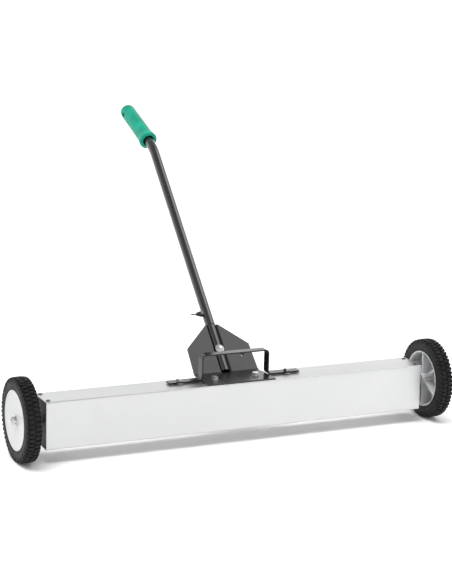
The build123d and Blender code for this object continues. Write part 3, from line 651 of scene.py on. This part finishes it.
def nut_beads():
    """The weld beads round the two nuts behind the plate."""
    mesh = bmesh.new()
    for x in (-WELD_NUT_X, WELD_NUT_X):
        place = axis_at(on_plate(WELD_NUT_S, PLATE_BACK_N, x), -OFF_PLATE)
        add_bead(mesh, place, BEAD_RING_R, BEAD_R, BEAD_RIPPLES)
    finished(mesh, "weld_nut_beads", "housing", "bracket_black")


nut_beads()


# ---------------------------------------------------------------- floor, light and camera
HIGH_UP = (0.30, 0.80)
FAR_BACK = (0.10, 0.80)
FLOOR_REACH = 30.0
# the photograph's camera: metres, degrees and pixels
CAMERA_AT = (-1.57927, -3.33229, 1.15880)
CAMERA_HEADING = 24.977
CAMERA_TILT = 12.794
CAMERA_ROLL = 1.5
FOCAL_PIXELS = 1782.48
PHOTO_HEIGHT = 584.0
SENSOR = 36.0
CLIP_END = 100.0


def soft_box(name, location, target, size, power):
    """A rectangular lamp that faces a point."""
    lamp = bpy.data.lights.new(name, "AREA")
    lamp.shape = "RECTANGLE"
    lamp.size, lamp.size_y = size
    lamp.energy = power
    holder = bpy.data.objects.new(name, lamp)
    bpy.context.scene.collection.objects.link(holder)
    holder.location = location
    holder.rotation_mode = "QUATERNION"
    holder.rotation_quaternion = (Vector(target) - Vector(location)).to_track_quat("-Z", "Y")


def key_light(towards, strength, softness):
    """A broad soft key that falls on the whole floor alike and leaves no glint of its own."""
    lamp = bpy.data.lights.new("key", "SUN")
    lamp.energy = strength
    lamp.angle = radians(softness)
    holder = bpy.data.objects.new("key", lamp)
    bpy.context.scene.collection.objects.link(holder)
    holder.rotation_mode = "QUATERNION"
    holder.rotation_quaternion = Vector(towards).to_track_quat("Z", "Y")
    holder.visible_glossy = False


def surround(horizon, zenith, backdrop):
    """A world that is white at the horizon, brightest behind the object, and dims overhead."""
    world = bpy.data.worlds.new("surround")
    world.use_nodes = True
    tree = world.node_tree

    def fade(value, limits, low, high):
        """Passes smoothly from low to high while a value crosses its limits."""
        made = tree.nodes.new("ShaderNodeMapRange")
        made.interpolation_type = "SMOOTHSTEP"
        for socket, number in zip(("From Min", "From Max", "To Min", "To Max"), (*limits, low, high)):
            made.inputs[socket].default_value = number
        tree.links.new(value, made.inputs["Value"])
        return made.outputs["Result"]

    direction = tree.nodes.new("ShaderNodeTexCoord")
    parts = tree.nodes.new("ShaderNodeSeparateXYZ")
    tree.links.new(direction.outputs["Generated"], parts.inputs["Vector"])
    product = tree.nodes.new("ShaderNodeMath")
    product.operation = "MULTIPLY"
    tree.links.new(fade(parts.outputs["Z"], HIGH_UP, horizon, zenith), product.inputs[0])
    tree.links.new(fade(parts.outputs["Y"], FAR_BACK, 1.0, backdrop), product.inputs[1])
    tree.links.new(product.outputs[0], tree.nodes["Background"].inputs["Strength"])
    tree.nodes["Background"].inputs["Color"].default_value = (1.0, 1.0, 1.0, 1.0)
    bpy.context.scene.world = world


def studio():
    """A white floor that meets a white surround, with a broad key and one soft box."""
    mesh = bpy.data.meshes.new("floor")
    corners = ((-1, -1), (1, -1), (1, 1), (-1, 1))
    mesh.from_pydata([(x * FLOOR_REACH, y * FLOOR_REACH, 0) for x, y in corners], [], [(0, 1, 2, 3)])
    floor = bpy.data.objects.new("floor", mesh)
    bpy.context.scene.collection.objects.link(floor)
    paper = Look("floor_paper", Roughness=0.9)
    paper.color(paper.noise(2.0, 2.0), (0.925, 0.925, 0.925), (0.94, 0.94, 0.94))
    mesh.materials.append(paper.material)
    surround(horizon=1.0, zenith=0.42, backdrop=1.42)
    key_light(towards=(-0.30, -0.08, 0.95), strength=2.6, softness=40)
    soft_box("side_box", location=(1.50, -0.30, 2.75), target=(0.0, 0.1, 0.3), size=(2.2, 1.7), power=26)
    bpy.context.scene.view_settings.view_transform = "Standard"


def photo_camera():
    """The photograph's view."""
    heading, tilt, roll = radians(CAMERA_HEADING), radians(CAMERA_TILT), radians(CAMERA_ROLL)
    ahead = Vector((sin(heading) * cos(tilt), cos(heading) * cos(tilt), -sin(tilt)))
    level_right = Vector((cos(heading), -sin(heading), 0.0))
    level_up = level_right.cross(ahead)
    right = level_right * cos(roll) + level_up * sin(roll)
    up = level_up * cos(roll) - level_right * sin(roll)
    data = bpy.data.cameras.new("camera")
    data.sensor_width = SENSOR
    data.lens = FOCAL_PIXELS * SENSOR / PHOTO_HEIGHT
    data.clip_end = CLIP_END
    camera = bpy.data.objects.new("camera", data)
    bpy.context.scene.collection.objects.link(camera)
    camera.matrix_world = Matrix.Translation(CAMERA_AT) @ Matrix((right, up, -ahead)).transposed().to_4x4()
    bpy.context.scene.camera = camera


studio()
photo_camera()
